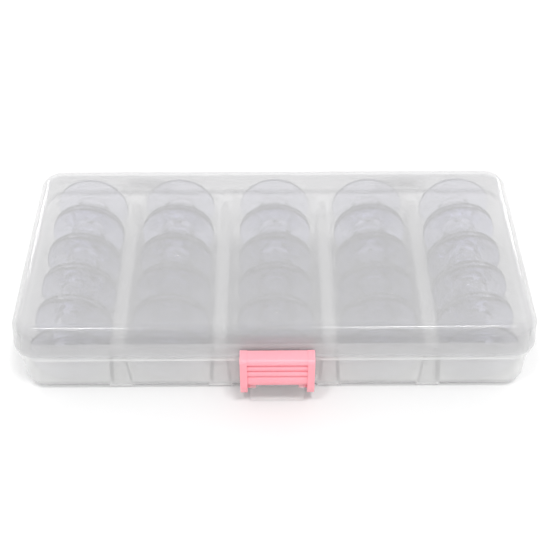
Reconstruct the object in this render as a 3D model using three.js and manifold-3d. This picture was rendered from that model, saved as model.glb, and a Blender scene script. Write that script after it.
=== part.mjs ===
// Bobbin box: a shallow hinged case of moulded polypropylene with five channels,
// twenty-five clear sewing-machine bobbins standing on edge in them, and a pivoting front latch.
// Millimetres, +Z up. Origin: under the middle of the closed case, on the tray's flat underside. -Y is the front (latch side).
import * as THREE from 'three';
import { mergeVertices } from 'three/addons/utils/BufferGeometryUtils.js';
import Module from 'manifold-3d';

const wasm = await Module();
wasm.setup();

// ---------------------------------------------------------------- driving dimensions (mm)
const BOX_W = 136, BOX_D = 66, BOX_H = 24;     // outside, at the lid's rim
const PART_Z = 14.7;                             // underside of the lid's rim
const WALL = 1.0, FLOOR = 1.3, ROOF = 1.2;        // side walls, tray floor, lid roof
const CORNER_R = 6.8;                            // plan corner radius at the lid's rim
const CORNER_SEG = 6;                            // facets in each plan corner

const LID_RIM_T = 0.8;                           // height of the lid's rim bead
const LID_SKIRT_IN = 0.12;                        // skirt set in from the bead
const LID_TOP_IN = 0.6;                          // inset where the roof's edge radius starts
const LID_EDGE_R = 3.0;                          // roof edge radius
const LID_GAP = 0.25;                            // lid to tray lip, all round

const FLANGE_IN = 0.5;                           // tray flange set in from the lid's rim
const FLANGE_Z0 = 12.7, FLANGE_Z1 = 14.5;        // tray flange, under the lid's rim
const TRAY_TOP_IN = 1.3, TRAY_BOT_IN = 1.6;      // tray wall outside face, under the flange and at the floor
const TRAY_EDGE_R = 3.5, TRAY_INNER_R = 1.2;     // floor edge radius, outside and inside
const LIP_IN = 0.3 + WALL + LID_GAP;        // lip that rises inside the lid
const LIP_Z = 17.0;

const DIVIDER_X = [-40.9, -14.4, 14.4, 40.9];    // hollow ribs between the five channels
const DIVIDER_TOP = 14.9, DIVIDER_W0 = 6.2, DIVIDER_W1 = 4.2, DIVIDER_WALL = 1.0;

const BOBBIN_R = 10.2, BOBBIN_W = 11.7;          // 20.4 mm flange, 11.7 mm wide
const FLANGE_T = 1.0, HUB_R = 4.6, BORE_R = 3.1;
const BOBBIN_GAP = 0.15, BOBBIN_LIFT = 0.3;       // between neighbours, and over the floor
const BOBBIN_SEG = 22;
const COLUMN_X = [-53.8, -27.75, 0.3, 27.75, 53.8];

const LATCH_X = 0.6;                             // the latch and its lug sit slightly to one side
const LATCH_Y = -34.3, LATCH_Z = 5.2;            // latch pivot axis, along X
const LATCH_IN = 7.75, LATCH_OUT = 9.6;          // inside and outside faces of the side rails
const KNUCKLE_LATCH_R = 2.0;                     // rounded lower end of each rail
const LATCH_FRONT = -37.2, LATCH_TOP = 17.5;
const PLATE_Z = 7.3;                             // lower edge of the face plate
const LUG_HALF = 7.05, LUG_R = 1.72;                           // pivot lug on the tray
const PIVOT_R = 0.8, PIVOT_HOLE_R = 1.1;
const CATCH_HALF = 6.9;                          // catch ledge on the lid

const ORIGIN_Y = 0.38;                           // middle of the latch front and the hinge back
const HINGE_Y = 35.8, HINGE_Z = 14.6;            // lid hinge axis, along X
const HINGE_X = [-38, 38];
const EAR_R = 2.2, BAR_R = 1.1, KNUCKLE_R = 2.05, KNUCKLE_BORE_R = 1.35;
const KNUCKLE_HALF = 5.0, EAR_IN = 5.35, EAR_OUT = 7.6;

// ---------------------------------------------------------------- solids
function solid(geometry) {
  const g = (geometry.index ? geometry.toNonIndexed() : geometry.clone());
  for (const name of Object.keys(g.attributes)) if (name !== 'position') g.deleteAttribute(name);
  const m = mergeVertices(g, 1e-4);
  return new wasm.Manifold(new wasm.Mesh({
    numProp: 3,
    vertProperties: new Float32Array(m.attributes.position.array),
    triVerts: new Uint32Array(m.index.array),
  }));
}

function geometryOf(manifold) {
  const m = manifold.getMesh(), n = m.numProp;
  const v = new Float32Array(m.numVert * 3);
  for (let i = 0; i < m.numVert; i++) v.set(m.vertProperties.subarray(i * n, i * n + 3), i * 3);
  const g = new THREE.BufferGeometry();
  g.setAttribute('position', new THREE.BufferAttribute(v, 3));
  g.setIndex(new THREE.BufferAttribute(new Uint32Array(m.triVerts), 1));
  const flat = g.toNonIndexed();
  flat.computeVertexNormals();
  return flat;
}

const join = (...parts) => parts.reduce((a, b) => a.add(b));

// Plan outline of a rounded rectangle, counter-clockwise, the same point count at every size.
function ring(halfX, halfY, r, z) {
  const points = [];
  const radius = Math.max(r, 0.3);
  [[1, 1, 0], [-1, 1, 90], [-1, -1, 180], [1, -1, 270]].forEach(([sx, sy, start]) => {
    for (let i = 0; i <= CORNER_SEG; i++) {
      const a = THREE.MathUtils.degToRad(start + (90 * i) / CORNER_SEG);
      points.push([sx * (halfX - radius) + radius * Math.cos(a), sy * (halfY - radius) + radius * Math.sin(a), z]);
    }
  });
  return points;
}

// Rounded rectangle inset from the lid's rim outline.
const inset = (d, z) => ring(BOX_W / 2 - d, BOX_D / 2 - d, CORNER_R - d, z);

// Closed solid through stacked rings, bottom to top.
function loft(rings) {
  const n = rings[0].length, position = [];
  const tri = (a, b, c) => position.push(...a, ...b, ...c);
  for (let k = 0; k + 1 < rings.length; k++)
    for (let i = 0; i < n; i++) {
      const j = (i + 1) % n, a = rings[k][i], b = rings[k][j], c = rings[k + 1][j], d = rings[k + 1][i];
      tri(a, b, c); tri(a, c, d);
    }
  const low = rings[0], high = rings[rings.length - 1];
  for (const f of THREE.ShapeUtils.triangulateShape(low.map((p) => new THREE.Vector2(p[0], p[1])), [])) tri(low[f[2]], low[f[1]], low[f[0]]);
  for (const f of THREE.ShapeUtils.triangulateShape(high.map((p) => new THREE.Vector2(p[0], p[1])), [])) tri(high[f[0]], high[f[1]], high[f[2]]);
  return solid(new THREE.BufferGeometry().setAttribute('position', new THREE.Float32BufferAttribute(position, 3)));
}

function box(x0, x1, y0, y1, z0, z1) {
  const g = new THREE.BoxGeometry(x1 - x0, y1 - y0, z1 - z0);
  g.translate((x0 + x1) / 2, (y0 + y1) / 2, (z0 + z1) / 2);
  return solid(g);
}

// Cylinder along X.
function rod(x0, x1, y, z, r, segments = 20) {
  const g = new THREE.CylinderGeometry(r, r, x1 - x0, segments);
  g.rotateZ(Math.PI / 2);
  g.translate((x0 + x1) / 2, y, z);
  return solid(g);
}

// Prism along X of a profile given as [y, z] points.
function prismX(profile, x0, x1) {
  const shape = new THREE.Shape(profile.map(([y, z]) => new THREE.Vector2(y, z)));
  const g = new THREE.ExtrudeGeometry(shape, { depth: x1 - x0, bevelEnabled: false });
  g.applyMatrix4(new THREE.Matrix4().set(0, 0, 1, x0, 1, 0, 0, 0, 0, 1, 0, 0, 0, 0, 0, 1));
  return solid(g);
}

// Prism along Y of a profile given as [x, z] points.
function prismY(profile, y0, y1) {
  const shape = new THREE.Shape(profile.map(([x, z]) => new THREE.Vector2(x, z)));
  const g = new THREE.ExtrudeGeometry(shape, { depth: y1 - y0, bevelEnabled: false });
  g.applyMatrix4(new THREE.Matrix4().set(1, 0, 0, 0, 0, 0, -1, y1, 0, 1, 0, 0, 0, 0, 0, 1));
  return solid(g);
}

function arc(y, z, r, from, to, n) {
  const points = [];
  for (let i = 0; i <= n; i++) {
    const a = THREE.MathUtils.degToRad(from + ((to - from) * i) / n);
    points.push([y + r * Math.cos(a), z + r * Math.sin(a)]);
  }
  return points;
}

// ---------------------------------------------------------------- tray
function makeTray() {
  const edge = [];
  for (let i = 0; i <= 4; i++) {
    const a = (Math.PI / 2) * (i / 4);
    edge.push(inset(TRAY_BOT_IN + TRAY_EDGE_R * (1 - Math.sin(a)), TRAY_EDGE_R * (1 - Math.cos(a))));
  }
  let tray = loft([...edge, inset(TRAY_TOP_IN, FLANGE_Z0), inset(TRAY_TOP_IN, FLANGE_Z1)]);
  tray = tray.add(loft([inset(FLANGE_IN, FLANGE_Z0), inset(FLANGE_IN, FLANGE_Z1)]));
  tray = tray.add(loft([inset(LIP_IN, FLANGE_Z0), inset(LIP_IN, LIP_Z - 0.4), inset(LIP_IN + 0.4, LIP_Z)]));
  // latch lug: rounded above the pivot so that the latch swings past it
  const lug = [
    [-30.9, 0.5], [-30.9, LATCH_Z + LUG_R], ...arc(LATCH_Y, LATCH_Z, LUG_R, 90, 180, 5), [LATCH_Y - LUG_R, 1.3], [LATCH_Y - LUG_R + 0.25, 0.75], [LATCH_Y - LUG_R + 0.8, 0.5],
  ];
  tray = tray.add(prismX(lug, LATCH_X - LUG_HALF, LATCH_X + LUG_HALF));
  // hinge ears, each pair joined by a moulded bar
  for (const x of HINGE_X) {
    const ear = [
      [31.2, 10.6], [33.0, 10.6], ...arc(HINGE_Y, HINGE_Z, EAR_R, -35, 180, 9), [33.4, 14.5], [31.2, 14.5],
    ];
    tray = tray.add(prismX(ear, x - EAR_OUT, x - EAR_IN));
    tray = tray.add(prismX(ear, x + EAR_IN, x + EAR_OUT));
    tray = tray.add(rod(x - EAR_OUT + 0.4, x + EAR_OUT - 0.4, HINGE_Y, HINGE_Z, BAR_R, 14));
  }
  // inside of the tray
  const insideBottom = TRAY_BOT_IN + WALL, insideTop = LIP_IN + 0.95;
  tray = tray.subtract(loft([inset(insideBottom + TRAY_INNER_R, FLOOR), inset(insideBottom + TRAY_INNER_R * 0.29, FLOOR + TRAY_INNER_R * 0.29), inset(insideBottom, FLOOR + TRAY_INNER_R), inset(insideTop, 8), inset(insideTop, LIP_Z + 1)]));
  // hollow dividers, open underneath
  for (const x of DIVIDER_X) {
    const w0 = DIVIDER_W0 / 2, w1 = DIVIDER_W1 / 2;
    const profile = [[x - w0, 0.6], [x + w0, 0.6], [x + w1, DIVIDER_TOP - 0.7], [x + w1 - 0.7, DIVIDER_TOP], [x - w1 + 0.7, DIVIDER_TOP], [x - w1, DIVIDER_TOP - 0.7]];
    tray = tray.add(prismY(profile, -30.35, 30.35));
    const i0 = w0 - DIVIDER_WALL, i1 = w1 - DIVIDER_WALL + 0.05;
    tray = tray.subtract(prismY([[x - i0 - 0.1, -1], [x + i0 + 0.1, -1], [x + i1, DIVIDER_TOP - 1.2], [x - i1, DIVIDER_TOP - 1.2]], -29.0, 29.0));
  }
  // blind pivot holes in the lug's ends
  tray = tray.subtract(rod(LATCH_X - LUG_HALF - 1, LATCH_X - 5.2, LATCH_Y, LATCH_Z, PIVOT_HOLE_R, 14));
  tray = tray.subtract(rod(LATCH_X + 5.2, LATCH_X + LUG_HALF + 1, LATCH_Y, LATCH_Z, PIVOT_HOLE_R, 14));
  return tray;
}

// ---------------------------------------------------------------- lid
function makeLid() {
  const outer = [
    inset(0, PART_Z), inset(0, PART_Z + LID_RIM_T - 0.15), inset(LID_SKIRT_IN, PART_Z + LID_RIM_T),
  ];
  const steps = 4;
  for (let i = 0; i <= steps; i++) {
    const a = (Math.PI / 2) * (i / steps);
    outer.push(inset(LID_TOP_IN + LID_EDGE_R * (1 - Math.cos(a)), BOX_H - LID_EDGE_R + LID_EDGE_R * Math.sin(a)));
  }
  let lid = loft(outer);
  const innerR = LID_EDGE_R - ROOF;
  const inner = [inset(LID_SKIRT_IN + WALL, PART_Z - 1)];
  for (let i = 0; i <= 3; i++) {
    const a = (Math.PI / 2) * (i / 3);
    inner.push(inset(LID_TOP_IN + WALL + innerR * (1 - Math.cos(a)), BOX_H - ROOF - innerR + innerR * Math.sin(a)));
  }
  lid = lid.subtract(loft(inner));
  // catch ledge that the latch hooks over
  const catchY = -BOX_D / 2 + LID_SKIRT_IN;
  lid = lid.add(prismX([[catchY + 0.6, PART_Z], [catchY + 0.6, PART_Z + 1.4], [catchY - 0.2, PART_Z + 0.75], [catchY - 1.3, PART_Z + 0.75], [catchY - 1.6, PART_Z + 0.45], [catchY - 1.6, PART_Z]], LATCH_X - CATCH_HALF, LATCH_X + CATCH_HALF));
  // snap-in hinge knuckles, open below so that they press down over the tray's bars
  for (const x of HINGE_X) {
    const knuckle = [
      [32.2, PART_Z + 0.2], [HINGE_Y, HINGE_Z + 0.2], ...arc(HINGE_Y, HINGE_Z, KNUCKLE_R, 0, 90, 5), [33.6, PART_Z + 2.1], [32.2, PART_Z + 2.6],
    ];
    let k = rod(x - KNUCKLE_HALF, x + KNUCKLE_HALF, HINGE_Y, HINGE_Z, KNUCKLE_R, 20).add(prismX(knuckle, x - KNUCKLE_HALF, x + KNUCKLE_HALF));
    k = k.subtract(rod(x - KNUCKLE_HALF - 1, x + KNUCKLE_HALF + 1, HINGE_Y, HINGE_Z, KNUCKLE_BORE_R, 16));
    k = k.subtract(box(x - KNUCKLE_HALF - 1, x + KNUCKLE_HALF + 1, HINGE_Y - 0.9, HINGE_Y + 0.9, HINGE_Z - 4, HINGE_Z));
    // the part of the knuckle's web that would stand inside the lid is trimmed flush with the skirt
    k = k.subtract(box(x - 8, x + 8, 28, BOX_D / 2 - LID_SKIRT_IN - WALL + 0.3, 10, 20));
    lid = lid.add(k);
  }
  return lid;
}

// ---------------------------------------------------------------- latch
function makeLatch() {
  const x = LATCH_X, e = LATCH_IN + 0.3;
  const railProfile = [
    [LATCH_FRONT, LATCH_TOP - 1.0], [LATCH_FRONT, LATCH_Z + 2.2], [LATCH_FRONT + 0.35, LATCH_Z + 0.9],
    ...arc(LATCH_Y, LATCH_Z, KNUCKLE_LATCH_R, 185, 375, 10),
    [-33.7, LATCH_Z + 3.4], [-33.7, LATCH_TOP - 1.2], [-33.15, LATCH_TOP - 1.0], [-33.15, LATCH_TOP], [LATCH_FRONT + 1.0, LATCH_TOP], [LATCH_FRONT + 0.3, LATCH_TOP - 0.35],
  ];
  // side rails with rounded knuckles at the pivot
  let latch = join(prismX(railProfile, x - LATCH_OUT, x - LATCH_IN), prismX(railProfile, x + LATCH_IN, x + LATCH_OUT));
  // face plate
  latch = latch.add(box(x - e, x + e, -36.15, -34.95, PLATE_Z, LATCH_TOP - 0.3));
  // hook over the lid's catch
  latch = latch.add(prismX([
    [LATCH_FRONT + 0.2, LATCH_TOP - 1.0], [LATCH_FRONT + 0.2, LATCH_TOP - 1.5], [-36.1, LATCH_TOP - 2.1], [-35.2, LATCH_TOP - 2.1], [-34.95, LATCH_TOP - 1.5],
    [-33.6, LATCH_TOP - 1.35], [-33.15, LATCH_TOP - 0.9], [-33.15, LATCH_TOP - 0.1], [LATCH_FRONT + 1.2, LATCH_TOP - 0.1], [LATCH_FRONT + 0.45, LATCH_TOP - 0.45],
  ], x - e, x + e));
  // grip ribs, the lowest one taller
  for (const [z, h] of [[14.25, 0.95], [12.1, 0.95], [9.55, 1.45]]) {
    latch = latch.add(prismX([[-36.0, z - h], [-36.0, z + h], [-36.6, z + h * 0.75], [-36.9, z + h * 0.25], [-36.9, z - h * 0.25], [-36.6, z - h * 0.75]], x - e, x + e));
  }
  // pivot stubs
  latch = latch.add(rod(x - LATCH_IN - 0.5, x - 5.6, LATCH_Y, LATCH_Z, PIVOT_R, 12));
  latch = latch.add(rod(x + 5.6, x + LATCH_IN + 0.5, LATCH_Y, LATCH_Z, PIVOT_R, 12));
  return latch;
}

// ---------------------------------------------------------------- bobbin, turned about its own axis
function bobbinGeometry() {
  const h = BOBBIN_W / 2;
  const profile = [
    [BORE_R, -h], [BOBBIN_R, -h], [BOBBIN_R, -h + FLANGE_T], [HUB_R, -h + FLANGE_T],
    [HUB_R, h - FLANGE_T], [BOBBIN_R, h - FLANGE_T], [BOBBIN_R, h], [BORE_R, h], [BORE_R, -h],
  ].map(([r, y]) => new THREE.Vector2(r, y));
  return new THREE.LatheGeometry(profile, BOBBIN_SEG);
}

// ---------------------------------------------------------------- assembly
const polypropylene = { color: 0xd6d6d6, roughness: 0.32, metalness: 0.0, transparent: true, opacity: 0.45 };
const trayMaterial = new THREE.MeshStandardMaterial(polypropylene);
const lidMaterial = new THREE.MeshStandardMaterial({ ...polypropylene, opacity: 0.4 });
const latchMaterial = new THREE.MeshStandardMaterial({ color: 0xfaa6b2, roughness: 0.42, metalness: 0.0 });
const bobbinMaterial = new THREE.MeshStandardMaterial({ color: 0xd9d9e6, roughness: 0.08, metalness: 0.0, transparent: true, opacity: 0.35 });

const root = new THREE.Group();
root.position.y = -ORIGIN_Y;

function part(name, geometry, material, parent = root) {
  const mesh = new THREE.Mesh(geometry, material);
  mesh.name = name;
  parent.add(mesh);
  return mesh;
}

part('tray', geometryOf(makeTray()), trayMaterial);
part('lid', geometryOf(makeLid()), lidMaterial);
part('latch', geometryOf(makeLatch()), latchMaterial);

const bobbin = bobbinGeometry();
const pitch = BOBBIN_W + BOBBIN_GAP;
const axisZ = FLOOR + BOBBIN_LIFT + BOBBIN_R;
COLUMN_X.forEach((x, c) => {
  const column = new THREE.Group();
  column.position.set(x, 0, axisZ);
  root.add(column);
  for (let r = 0; r < 5; r++) {
    const mesh = part(`bobbin_c${c + 1}_r${r + 1}`, bobbin, bobbinMaterial, column);
    mesh.position.y = (r - 2) * pitch;
  }
});

export default root;
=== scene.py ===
import math
import bpy, bmesh
from mathutils import Vector, Matrix


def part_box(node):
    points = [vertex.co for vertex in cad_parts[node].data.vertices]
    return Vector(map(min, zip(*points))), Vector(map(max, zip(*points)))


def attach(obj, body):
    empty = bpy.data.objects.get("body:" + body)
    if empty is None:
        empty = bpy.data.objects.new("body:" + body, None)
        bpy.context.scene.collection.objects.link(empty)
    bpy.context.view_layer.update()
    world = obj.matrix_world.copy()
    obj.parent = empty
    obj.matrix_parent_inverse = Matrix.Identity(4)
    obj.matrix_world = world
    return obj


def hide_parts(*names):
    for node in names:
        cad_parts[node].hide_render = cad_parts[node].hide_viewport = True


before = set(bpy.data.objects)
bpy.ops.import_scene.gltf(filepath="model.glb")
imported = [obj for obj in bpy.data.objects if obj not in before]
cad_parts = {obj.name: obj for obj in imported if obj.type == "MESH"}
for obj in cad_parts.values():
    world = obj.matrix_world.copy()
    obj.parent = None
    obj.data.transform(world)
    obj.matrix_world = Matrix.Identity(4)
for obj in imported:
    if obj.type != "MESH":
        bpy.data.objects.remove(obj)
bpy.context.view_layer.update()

# ------------------------------------------------------------------ dimensions, millimetres
BOX_W, BOX_D, BOX_H = 136.0, 66.0, 24.0
PART_Z = 14.7
WALL, FLOOR, ROOF = 1.0, 1.3, 1.2
CORNER_R, CORNER_SEG = 6.8, 14
LID_RIM_T, LID_SKIRT_IN, LID_TOP_IN, LID_EDGE_R, LID_GAP = 0.8, 0.12, 0.6, 3.0, 0.25
FLANGE_IN, FLANGE_Z0, FLANGE_Z1 = 0.5, 12.7, 14.5
TRAY_TOP_IN, TRAY_BOT_IN, TRAY_EDGE_R, TRAY_INNER_R = 1.3, 1.6, 3.5, 1.2
LIP_IN, LIP_Z = 0.3 + WALL + LID_GAP, 17.0
DIVIDER_X = [-40.9, -14.4, 14.4, 40.9]
DIVIDER_TOP, DIVIDER_W0, DIVIDER_W1, DIVIDER_WALL = 14.9, 6.2, 4.2, 1.0
BOBBIN_R, BOBBIN_W, FLANGE_T, HUB_R, BORE_R = 10.2, 11.7, 1.0, 4.6, 3.1
LATCH_X, LATCH_Y, LATCH_Z, LATCH_IN, LATCH_OUT, RAIL_R = 0.6, -34.3, 5.2, 7.75, 9.6, 2.0
LATCH_FRONT, LATCH_TOP, PLATE_Z = -37.2, 17.5, 7.3
LUG_HALF, LUG_R, PIVOT_R, PIVOT_HOLE_R, CATCH_HALF = 7.05, 1.72, 0.8, 1.1, 6.9
HINGE_Y, HINGE_Z, HINGE_X = 35.8, 14.6, [-38.0, 38.0]
EAR_R, BAR_R, KNUCKLE_R, KNUCKLE_BORE_R = 2.2, 1.1, 2.05, 1.35
KNUCKLE_HALF, EAR_IN, EAR_OUT = 5.0, 5.35, 7.6
OFF_Y = (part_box("latch")[0][1] * 1000) + 37.2        # design centre to the frame's origin, about -0.38
MM = 0.001

scene = bpy.context.scene

# ------------------------------------------------------------------ mesh helpers
def raw(name, verts, faces):
    me = bpy.data.meshes.new(name)
    me.from_pydata([tuple(v) for v in verts], [], faces)
    bm = bmesh.new(); bm.from_mesh(me)
    bmesh.ops.remove_doubles(bm, verts=bm.verts, dist=1e-5)
    bmesh.ops.recalc_face_normals(bm, faces=bm.faces)
    bm.to_mesh(me); bm.free()
    o = bpy.data.objects.new(name, me)
    scene.collection.objects.link(o)
    return o

def ring(hx, hy, r, z, seg=CORNER_SEG):
    r = max(r, 0.3); pts = []
    for sx, sy, start in ((1, 1, 0), (-1, 1, 90), (-1, -1, 180), (1, -1, 270)):
        for i in range(seg + 1):
            a = math.radians(start + 90 * i / seg)
            pts.append((sx * (hx - r) + r * math.cos(a), sy * (hy - r) + r * math.sin(a), z))
    return pts

def inset(d, z):
    return ring(BOX_W / 2 - d, BOX_D / 2 - d, CORNER_R - d, z)

def loft(rings, name="loft"):
    n = len(rings[0]); verts = [p for r in rings for p in r]; faces = []
    for k in range(len(rings) - 1):
        for i in range(n):
            j = (i + 1) % n
            faces.append((k * n + i, k * n + j, (k + 1) * n + j, (k + 1) * n + i))
    faces.append(tuple(range(n - 1, -1, -1)))
    faces.append(tuple((len(rings) - 1) * n + i for i in range(n)))
    return raw(name, verts, faces)

def prism_x(profile, x0, x1):
    n = len(profile)
    verts = [(x0, y, z) for y, z in profile] + [(x1, y, z) for y, z in profile]
    faces = [(i, (i + 1) % n, n + (i + 1) % n, n + i) for i in range(n)]
    return raw("prism", verts, faces + [tuple(range(n - 1, -1, -1)), tuple(range(n, 2 * n))])

def prism_y(profile, y0, y1):
    n = len(profile)
    verts = [(x, y0, z) for x, z in profile] + [(x, y1, z) for x, z in profile]
    faces = [(i, (i + 1) % n, n + (i + 1) % n, n + i) for i in range(n)]
    return raw("prism", verts, faces + [tuple(range(n - 1, -1, -1)), tuple(range(n, 2 * n))])

def block(x0, x1, y0, y1, z0, z1):
    return prism_x([(y0, z0), (y1, z0), (y1, z1), (y0, z1)], x0, x1)

def arc(y, z, r, a0, a1, n):
    return [(y + r * math.cos(math.radians(a0 + (a1 - a0) * i / n)), z + r * math.sin(math.radians(a0 + (a1 - a0) * i / n))) for i in range(n + 1)]

def rod(x0, x1, y, z, r, n=40):
    return prism_x(arc(y, z, r, 0, 360, n)[:-1], x0, x1)

def combine(a, b, op):
    m = a.modifiers.new("b", "BOOLEAN")
    m.solver = "EXACT"; m.operation = op; m.object = b
    dg = bpy.context.evaluated_depsgraph_get(); dg.update()
    me = bpy.data.meshes.new_from_object(a.evaluated_get(dg))
    a.modifiers.clear(); old = a.data; a.data = me
    bpy.data.meshes.remove(old); old = b.data
    bpy.data.objects.remove(b); bpy.data.meshes.remove(old)
    return a

def add(a, *more):
    for b in more: combine(a, b, "UNION")
    return a

def cut(a, *more):
    for b in more: combine(a, b, "DIFFERENCE")
    return a

def finish(o, name, body, nodes, mat, bevel=0.18, seg=2, second=None):
    o.name = name; o.data.name = name
    bm = bmesh.new(); bm.from_mesh(o.data)
    bmesh.ops.remove_doubles(bm, verts=bm.verts, dist=0.004)
    bmesh.ops.dissolve_limit(bm, angle_limit=math.radians(0.6), verts=bm.verts, edges=bm.edges)
    if second:
        for f in bm.faces:
            c = f.calc_center_median()
            f.material_index = 1 if c.y < -32.0 and c.z < 7.2 and abs(c.x - LATCH_X) < LUG_HALF + 0.1 and all(abs(v.co.x - LATCH_X) < LUG_HALF + 0.2 for v in f.verts) else 0
    bmesh.ops.translate(bm, vec=(0, OFF_Y, 0), verts=bm.verts)
    bmesh.ops.scale(bm, vec=(MM, MM, MM), verts=bm.verts)
    for f in bm.faces: f.smooth = True
    bm.to_mesh(o.data); bm.free()
    idx = [p.material_index for p in o.data.polygons]
    o.data.materials.clear(); o.data.materials.append(mat)
    if second: o.data.materials.append(second)
    for p, i in zip(o.data.polygons, idx): p.material_index = i if second else 0
    if bevel:
        b = o.modifiers.new("edge", "BEVEL")
        b.width = bevel * MM; b.segments = seg; b.limit_method = "ANGLE"; b.angle_limit = math.radians(32)
        b.use_clamp_overlap = True; b.harden_normals = True; b.miter_outer = "MITER_ARC"
    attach(o, body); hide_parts(*nodes)
    return o

# ------------------------------------------------------------------ materials
def plastic(name, color, alpha, rough, tint=None, bump=0.02, grain=900.0, transmission=0.0, ior=1.49, sss=0.0, coat=0.0):
    m = bpy.data.materials.new(name); m.use_nodes = True
    nt = m.node_tree; nt.nodes.clear()
    out = nt.nodes.new("ShaderNodeOutputMaterial"); p = nt.nodes.new("ShaderNodeBsdfPrincipled")
    nt.links.new(p.outputs[0], out.inputs[0])
    tc = nt.nodes.new("ShaderNodeTexCoord")
    flow = nt.nodes.new("ShaderNodeTexNoise"); flow.inputs["Scale"].default_value = 38.0; flow.inputs["Detail"].default_value = 3.0
    nt.links.new(tc.outputs["Object"], flow.inputs["Vector"])
    cr = nt.nodes.new("ShaderNodeValToRGB")
    cr.color_ramp.elements[0].position = 0.3; cr.color_ramp.elements[1].position = 0.72
    t = tint or tuple(c * 0.965 for c in color)
    cr.color_ramp.elements[0].color = (*t, 1); cr.color_ramp.elements[1].color = (*color, 1)
    nt.links.new(flow.outputs["Fac"], cr.inputs["Fac"]); nt.links.new(cr.outputs["Color"], p.inputs["Base Color"])
    mr = nt.nodes.new("ShaderNodeMapRange")
    mr.inputs["To Min"].default_value = rough * 0.85; mr.inputs["To Max"].default_value = rough * 1.2
    nt.links.new(flow.outputs["Fac"], mr.inputs["Value"]); nt.links.new(mr.outputs[0], p.inputs["Roughness"])
    if bump:
        fine = nt.nodes.new("ShaderNodeTexNoise"); fine.inputs["Scale"].default_value = grain; fine.inputs["Detail"].default_value = 2.0
        nt.links.new(tc.outputs["Object"], fine.inputs["Vector"])
        b = nt.nodes.new("ShaderNodeBump"); b.inputs["Strength"].default_value = bump; b.inputs["Distance"].default_value = 0.0002
        nt.links.new(fine.outputs["Fac"], b.inputs["Height"]); nt.links.new(b.outputs[0], p.inputs["Normal"])
    p.inputs["Alpha"].default_value = alpha
    p.inputs["IOR"].default_value = ior
    p.inputs["Transmission Weight"].default_value = transmission
    if sss:
        p.inputs["Subsurface Weight"].default_value = sss
        p.inputs["Subsurface Radius"].default_value = (1.0, 0.5, 0.45)
        p.inputs["Subsurface Scale"].default_value = 0.0012
    if coat:
        p.inputs["Coat Weight"].default_value = coat
        p.inputs["Coat Roughness"].default_value = 0.12
    return m

MAT_TRAY = plastic("pp_milky_tray", (0.94, 0.94, 0.935), 0.40, 0.24, bump=0.03)
MAT_LID = plastic("pp_milky_lid", (0.63, 0.63, 0.635), 0.385, 0.10, bump=0.04)
MAT_LUG = plastic("pp_clear_lug", (0.97, 0.95, 0.945), 0.14, 0.14, bump=0.03)
MAT_LATCH = plastic("pink_plastic", (0.97, 0.39, 0.445), 1.0, 0.34, tint=(0.95, 0.36, 0.42), bump=0.05, sss=0.25)
MAT_BOBBIN = plastic("clear_lilac_plastic", (0.92, 0.92, 1.0), 1.0, 0.025, tint=(0.895, 0.898, 1.0), bump=0.0, transmission=1.0, ior=1.38)

# ------------------------------------------------------------------ tray
def make_tray():
    edge = []
    for i in range(11):
        a = math.pi / 2 * i / 10
        edge.append(inset(TRAY_BOT_IN + TRAY_EDGE_R * (1 - math.sin(a)), TRAY_EDGE_R * (1 - math.cos(a))))
    o = loft(edge + [inset(TRAY_TOP_IN, FLANGE_Z0), inset(FLANGE_IN, FLANGE_Z0), inset(FLANGE_IN, FLANGE_Z1), inset(LIP_IN, FLANGE_Z1), inset(LIP_IN, LIP_Z - 0.4), inset(LIP_IN + 0.4, LIP_Z)])
    lug = [(-30.9, 0.5), (-30.9, LATCH_Z + LUG_R)] + arc(LATCH_Y, LATCH_Z, LUG_R, 90, 180, 12) + arc(LATCH_Y - LUG_R + 0.8, 1.3, 0.8, 180, 270, 6)
    add(o, prism_x(lug, LATCH_X - LUG_HALF, LATCH_X + LUG_HALF))
    for x in HINGE_X:
        ear = [(31.2, 10.6), (33.0, 10.6)] + arc(HINGE_Y, HINGE_Z, EAR_R, -35, 180, 22) + [(33.4, 14.5), (31.2, 14.5)]
        add(o, prism_x(ear, x - EAR_OUT, x - EAR_IN), prism_x(ear, x + EAR_IN, x + EAR_OUT), rod(x - EAR_OUT + 0.4, x + EAR_OUT - 0.4, HINGE_Y, HINGE_Z, BAR_R, 28))
    ib, it = TRAY_BOT_IN + WALL, LIP_IN + 0.95
    inner = []
    for i in range(6):
        a = math.pi / 2 * i / 5
        inner.append(inset(ib + TRAY_INNER_R * (1 - math.sin(a)), FLOOR + TRAY_INNER_R * (1 - math.cos(a))))
    inner += [inset(it, 8), inset(it, LIP_Z + 1)]
    cut(o, loft(inner))
    for x in DIVIDER_X:
        w0, w1, T = DIVIDER_W0 / 2, DIVIDER_W1 / 2, DIVIDER_TOP
        top = [(x + w1, T - 0.9), (x + w1 - 0.12, T - 0.45), (x + w1 - 0.45, T - 0.12), (x + w1 - 0.9, T), (x - w1 + 0.9, T), (x - w1 + 0.45, T - 0.12), (x - w1 + 0.12, T - 0.45), (x - w1, T - 0.9)]
        add(o, prism_y([(x - w0, 0.6), (x + w0, 0.6)] + top, -30.6, 30.6))
        i0, i1 = w0 - DIVIDER_WALL, w1 - DIVIDER_WALL + 0.05
        cut(o, prism_y([(x - i0 - 0.1, -1), (x + i0 + 0.1, -1), (x + i1, T - 1.2), (x - i1, T - 1.2)], -29.0, 29.0))
    cut(o, rod(LATCH_X - LUG_HALF - 1, LATCH_X - 5.2, LATCH_Y, LATCH_Z, PIVOT_HOLE_R, 24), rod(LATCH_X + 5.2, LATCH_X + LUG_HALF + 1, LATCH_Y, LATCH_Z, PIVOT_HOLE_R, 24))
    return o

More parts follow.
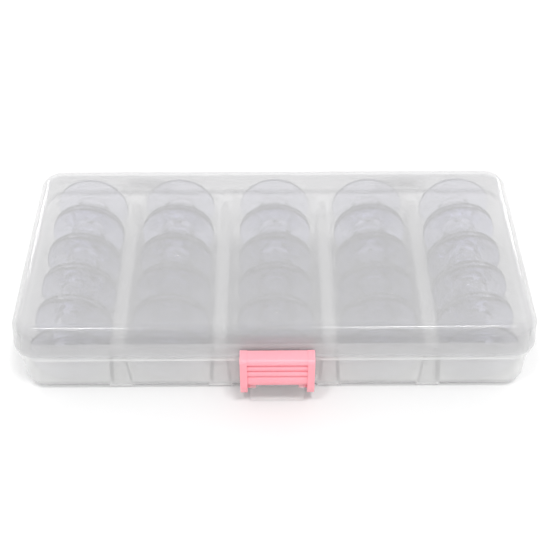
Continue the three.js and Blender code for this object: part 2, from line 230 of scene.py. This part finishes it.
# ------------------------------------------------------------------ lid
def make_lid():
    outer = [inset(0, PART_Z), inset(0, PART_Z + LID_RIM_T - 0.25), inset(0.1, PART_Z + LID_RIM_T - 0.07), inset(LID_SKIRT_IN, PART_Z + LID_RIM_T)]
    for i in range(13):
        a = math.pi / 2 * i / 12
        outer.append(inset(LID_TOP_IN + LID_EDGE_R * (1 - math.cos(a)), BOX_H - LID_EDGE_R + LID_EDGE_R * math.sin(a)))
    o = loft(outer)
    ri = LID_EDGE_R - ROOF
    inner = [inset(LID_SKIRT_IN + WALL, PART_Z - 1)]
    for i in range(9):
        a = math.pi / 2 * i / 8
        inner.append(inset(LID_TOP_IN + WALL + ri * (1 - math.cos(a)), BOX_H - ROOF - ri + ri * math.sin(a)))
    cut(o, loft(inner))
    c = -BOX_D / 2 + LID_SKIRT_IN
    add(o, prism_x([(c + 0.6, PART_Z), (c + 0.6, PART_Z + 1.4), (c - 0.2, PART_Z + 0.75), (c - 1.3, PART_Z + 0.75), (c - 1.6, PART_Z + 0.45), (c - 1.6, PART_Z)], LATCH_X - CATCH_HALF, LATCH_X + CATCH_HALF))
    for x in HINGE_X:
        web = [(32.2, PART_Z + 0.2), (HINGE_Y, HINGE_Z + 0.2)] + arc(HINGE_Y, HINGE_Z, KNUCKLE_R, 0, 90, 12) + [(33.6, PART_Z + 2.1), (32.2, PART_Z + 2.6)]
        k = rod(x - KNUCKLE_HALF, x + KNUCKLE_HALF, HINGE_Y, HINGE_Z, KNUCKLE_R, 48)
        add(k, prism_x(web, x - KNUCKLE_HALF, x + KNUCKLE_HALF))
        cut(k, rod(x - KNUCKLE_HALF - 1, x + KNUCKLE_HALF + 1, HINGE_Y, HINGE_Z, KNUCKLE_BORE_R, 36),
            block(x - KNUCKLE_HALF - 1, x + KNUCKLE_HALF + 1, HINGE_Y - 0.9, HINGE_Y + 0.9, HINGE_Z - 4, HINGE_Z),
            block(x - 8, x + 8, 28, BOX_D / 2 - LID_SKIRT_IN - WALL + 0.3, 10, 20))
        add(o, k)
    return o

# ------------------------------------------------------------------ latch
def make_latch():
    x, e = LATCH_X, LATCH_IN + 0.3
    rail = [(LATCH_FRONT, LATCH_TOP - 1.0), (LATCH_FRONT, LATCH_Z + 2.2), (LATCH_FRONT + 0.08, LATCH_Z + 1.7), (LATCH_FRONT + 0.35, LATCH_Z + 0.9)] + arc(LATCH_Y, LATCH_Z, RAIL_R, 185, 375, 26) + [
        (-33.7, LATCH_Z + 3.4), (-33.7, LATCH_TOP - 1.2), (-33.15, LATCH_TOP - 1.0), (-33.15, LATCH_TOP)] + arc(LATCH_FRONT + 1.0, LATCH_TOP - 1.0, 1.0, 90, 180, 7)[:-1]
    o = prism_x(rail, x - LATCH_OUT, x - LATCH_IN)
    add(o, prism_x(rail, x + LATCH_IN, x + LATCH_OUT))
    add(o, block(x - e, x + e, -36.15, -34.95, PLATE_Z, LATCH_TOP - 0.3))
    hook = [(LATCH_FRONT + 0.2, LATCH_TOP - 1.5), (-36.75, LATCH_TOP - 1.85), (-36.1, LATCH_TOP - 2.1), (-35.2, LATCH_TOP - 2.1), (-34.95, LATCH_TOP - 1.5),
            (-33.6, LATCH_TOP - 1.35), (-33.15, LATCH_TOP - 0.9), (-33.15, LATCH_TOP - 0.1)] + arc(LATCH_FRONT + 1.2, LATCH_TOP - 1.1, 1.0, 90, 180, 7)
    add(o, prism_x(hook, x - e, x + e))
    for z, h in ((14.25, 0.98), (12.1, 0.98), (9.55, 1.5)):
        rib = [(-36.0, z - h)] + [(-36.02 - 0.86 * max(0.0, math.cos(math.radians(t))) ** 0.7, z - h * math.sin(math.radians(t))) for t in range(80, -81, -16)] + [(-36.0, z + h)]
        add(o, prism_x(rib, x - e, x + e))
    add(o, rod(x - LATCH_IN - 0.5, x - 5.6, LATCH_Y, LATCH_Z, PIVOT_R, 24), rod(x + 5.6, x + LATCH_IN + 0.5, LATCH_Y, LATCH_Z, PIVOT_R, 24))
    return o

# ------------------------------------------------------------------ bobbin
def bobbin_mesh():
    h = BOBBIN_W / 2; e = 0.32
    def corner(r, y, sr, sy, rad):
        # quarter round at the corner (r, y); the solid lies towards (-sr, -sy)
        return [(r - sr * rad + sr * rad * math.sin(math.radians(t)), y - sy * rad + sy * rad * math.cos(math.radians(t))) for t in range(0, 91, 30)]
    prof = []
    prof += [(BORE_R, -h + 0.3), (BORE_R + 0.3, -h)]
    prof += [(BOBBIN_R - e, -h), (BOBBIN_R - e * 0.5, -h + e * 0.14), (BOBBIN_R - e * 0.14, -h + e * 0.5), (BOBBIN_R, -h + e)]
    prof += [(BOBBIN_R, -h + FLANGE_T - e), (BOBBIN_R - e * 0.3, -h + FLANGE_T - e * 0.25), (BOBBIN_R - e, -h + FLANGE_T)]
    prof += [(HUB_R + 0.5, -h + FLANGE_T), (HUB_R + 0.15, -h + FLANGE_T + 0.15), (HUB_R, -h + FLANGE_T + 0.5)]
    # shallow rings round the core
    core = []
    for y0 in (-3.2, -1.07, 1.07, 3.2):
        core += [(HUB_R, y0 - 0.42), (HUB_R + 0.11, y0 - 0.28), (HUB_R + 0.2, y0 - 0.1), (HUB_R + 0.2, y0 + 0.1), (HUB_R + 0.11, y0 + 0.28), (HUB_R, y0 + 0.42)]
    full = prof + core + [(r, -y) for r, y in reversed(prof)]
    n = 72; verts = []; faces = []; m = len(full)
    for i in range(n):
        a = 2 * math.pi * i / n
        for r, y in full:
            verts.append((r * math.cos(a) * MM, y * MM, r * math.sin(a) * MM))
    for i in range(n):
        for k in range(m):
            faces.append((i * m + k, i * m + (k + 1) % m, ((i + 1) % n) * m + (k + 1) % m, ((i + 1) % n) * m + k))
    me = bpy.data.meshes.new("bobbin")
    me.from_pydata(verts, [], faces)
    bm = bmesh.new(); bm.from_mesh(me); bmesh.ops.recalc_face_normals(bm, faces=bm.faces)
    for f in bm.faces: f.smooth = True
    for ed in bm.edges:
        if len(ed.link_faces) == 2 and ed.calc_face_angle(0) > math.radians(46): ed.smooth = False
    bm.to_mesh(me); bm.free()
    me.materials.append(MAT_BOBBIN)
    return me

finish(make_tray(), "tray_moulding", "case", ["tray"], MAT_TRAY, 0.2, 2, MAT_LUG)
finish(make_lid(), "lid_moulding", "lid", ["lid"], MAT_LID, 0.15)
finish(make_latch(), "latch_moulding", "latch", ["latch"], MAT_LATCH, 0.18, 3)
bob = bobbin_mesh()
for c in range(1, 6):
    for r in range(1, 6):
        node = f"bobbin_c{c}_r{r}"
        lo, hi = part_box(node)
        o = bpy.data.objects.new("clear_" + node, bob)
        scene.collection.objects.link(o)
        o.location = ((lo[0] + hi[0]) / 2, (lo[1] + hi[1]) / 2, (lo[2] + hi[2]) / 2)
        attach(o, node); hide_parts(node)

# ------------------------------------------------------------------ floor, light, camera
me = bpy.data.meshes.new("floor")
me.from_pydata([(-3, -3, 0), (3, -3, 0), (3, 3, 0), (-3, 3, 0)], [], [(0, 1, 2, 3)])
floor = bpy.data.objects.new("floor", me); scene.collection.objects.link(floor)
floor.location.z = -0.0001
fm = bpy.data.materials.new("pale_floor"); fm.use_nodes = True
fp = fm.node_tree.nodes["Principled BSDF"]
fp.inputs["Base Color"].default_value = (0.79, 0.79, 0.79, 1); fp.inputs["Roughness"].default_value = 0.8
fp.inputs["Specular IOR Level"].default_value = 0.2
me.materials.append(fm)

w = bpy.data.worlds.new("studio"); scene.world = w; w.use_nodes = True
bg = w.node_tree.nodes["Background"]; bg.inputs[0].default_value = (1, 1, 1, 1); bg.inputs[1].default_value = 0.90

def area(name, loc, target, size, size_y, power, color=(1, 1, 1)):
    l = bpy.data.lights.new(name, "AREA"); l.shape = "RECTANGLE"; l.size = size; l.size_y = size_y; l.energy = power; l.color = color
    o = bpy.data.objects.new(name, l); scene.collection.objects.link(o)
    o.location = loc; o.rotation_euler = (Vector(target) - Vector(loc)).to_track_quat("-Z", "Y").to_euler()
    return o

area("strip_right", (0.21, -0.36, 1.15), (0, 0, 0), 0.28, 0.12, 4.9)
area("strip_left", (-0.28, -0.36, 1.15), (0, 0, 0), 0.14, 0.12, 2.45)
area("back_left", (-0.62, 0.86, 0.56), (0, 0, 0), 0.16, 0.16, 2.6)
area("back_right", (0.64, 0.86, 0.56), (0, 0, 0), 0.16, 0.16, 2.6)

e, yaw, dist = math.radians(44.16), 0.007, 0.3279
fwd = Vector((math.sin(yaw) * math.cos(e), math.cos(yaw) * math.cos(e), -math.sin(e)))
cam_d = bpy.data.cameras.new("camera"); cam = bpy.data.objects.new("camera", cam_d); scene.collection.objects.link(cam)
cam.location = Vector((0.000358, 0.01694 - 0.00038, 0)) - fwd * dist
cam.rotation_euler = fwd.to_track_quat("-Z", "Y").to_euler()
cam_d.sensor_width = 36.0; cam_d.lens = 36.0 * 1097.7 / 550; cam_d.shift_y = -12.5 / 550; cam_d.clip_start = 0.01
scene.camera = cam
scene.view_settings.view_transform = "Standard"
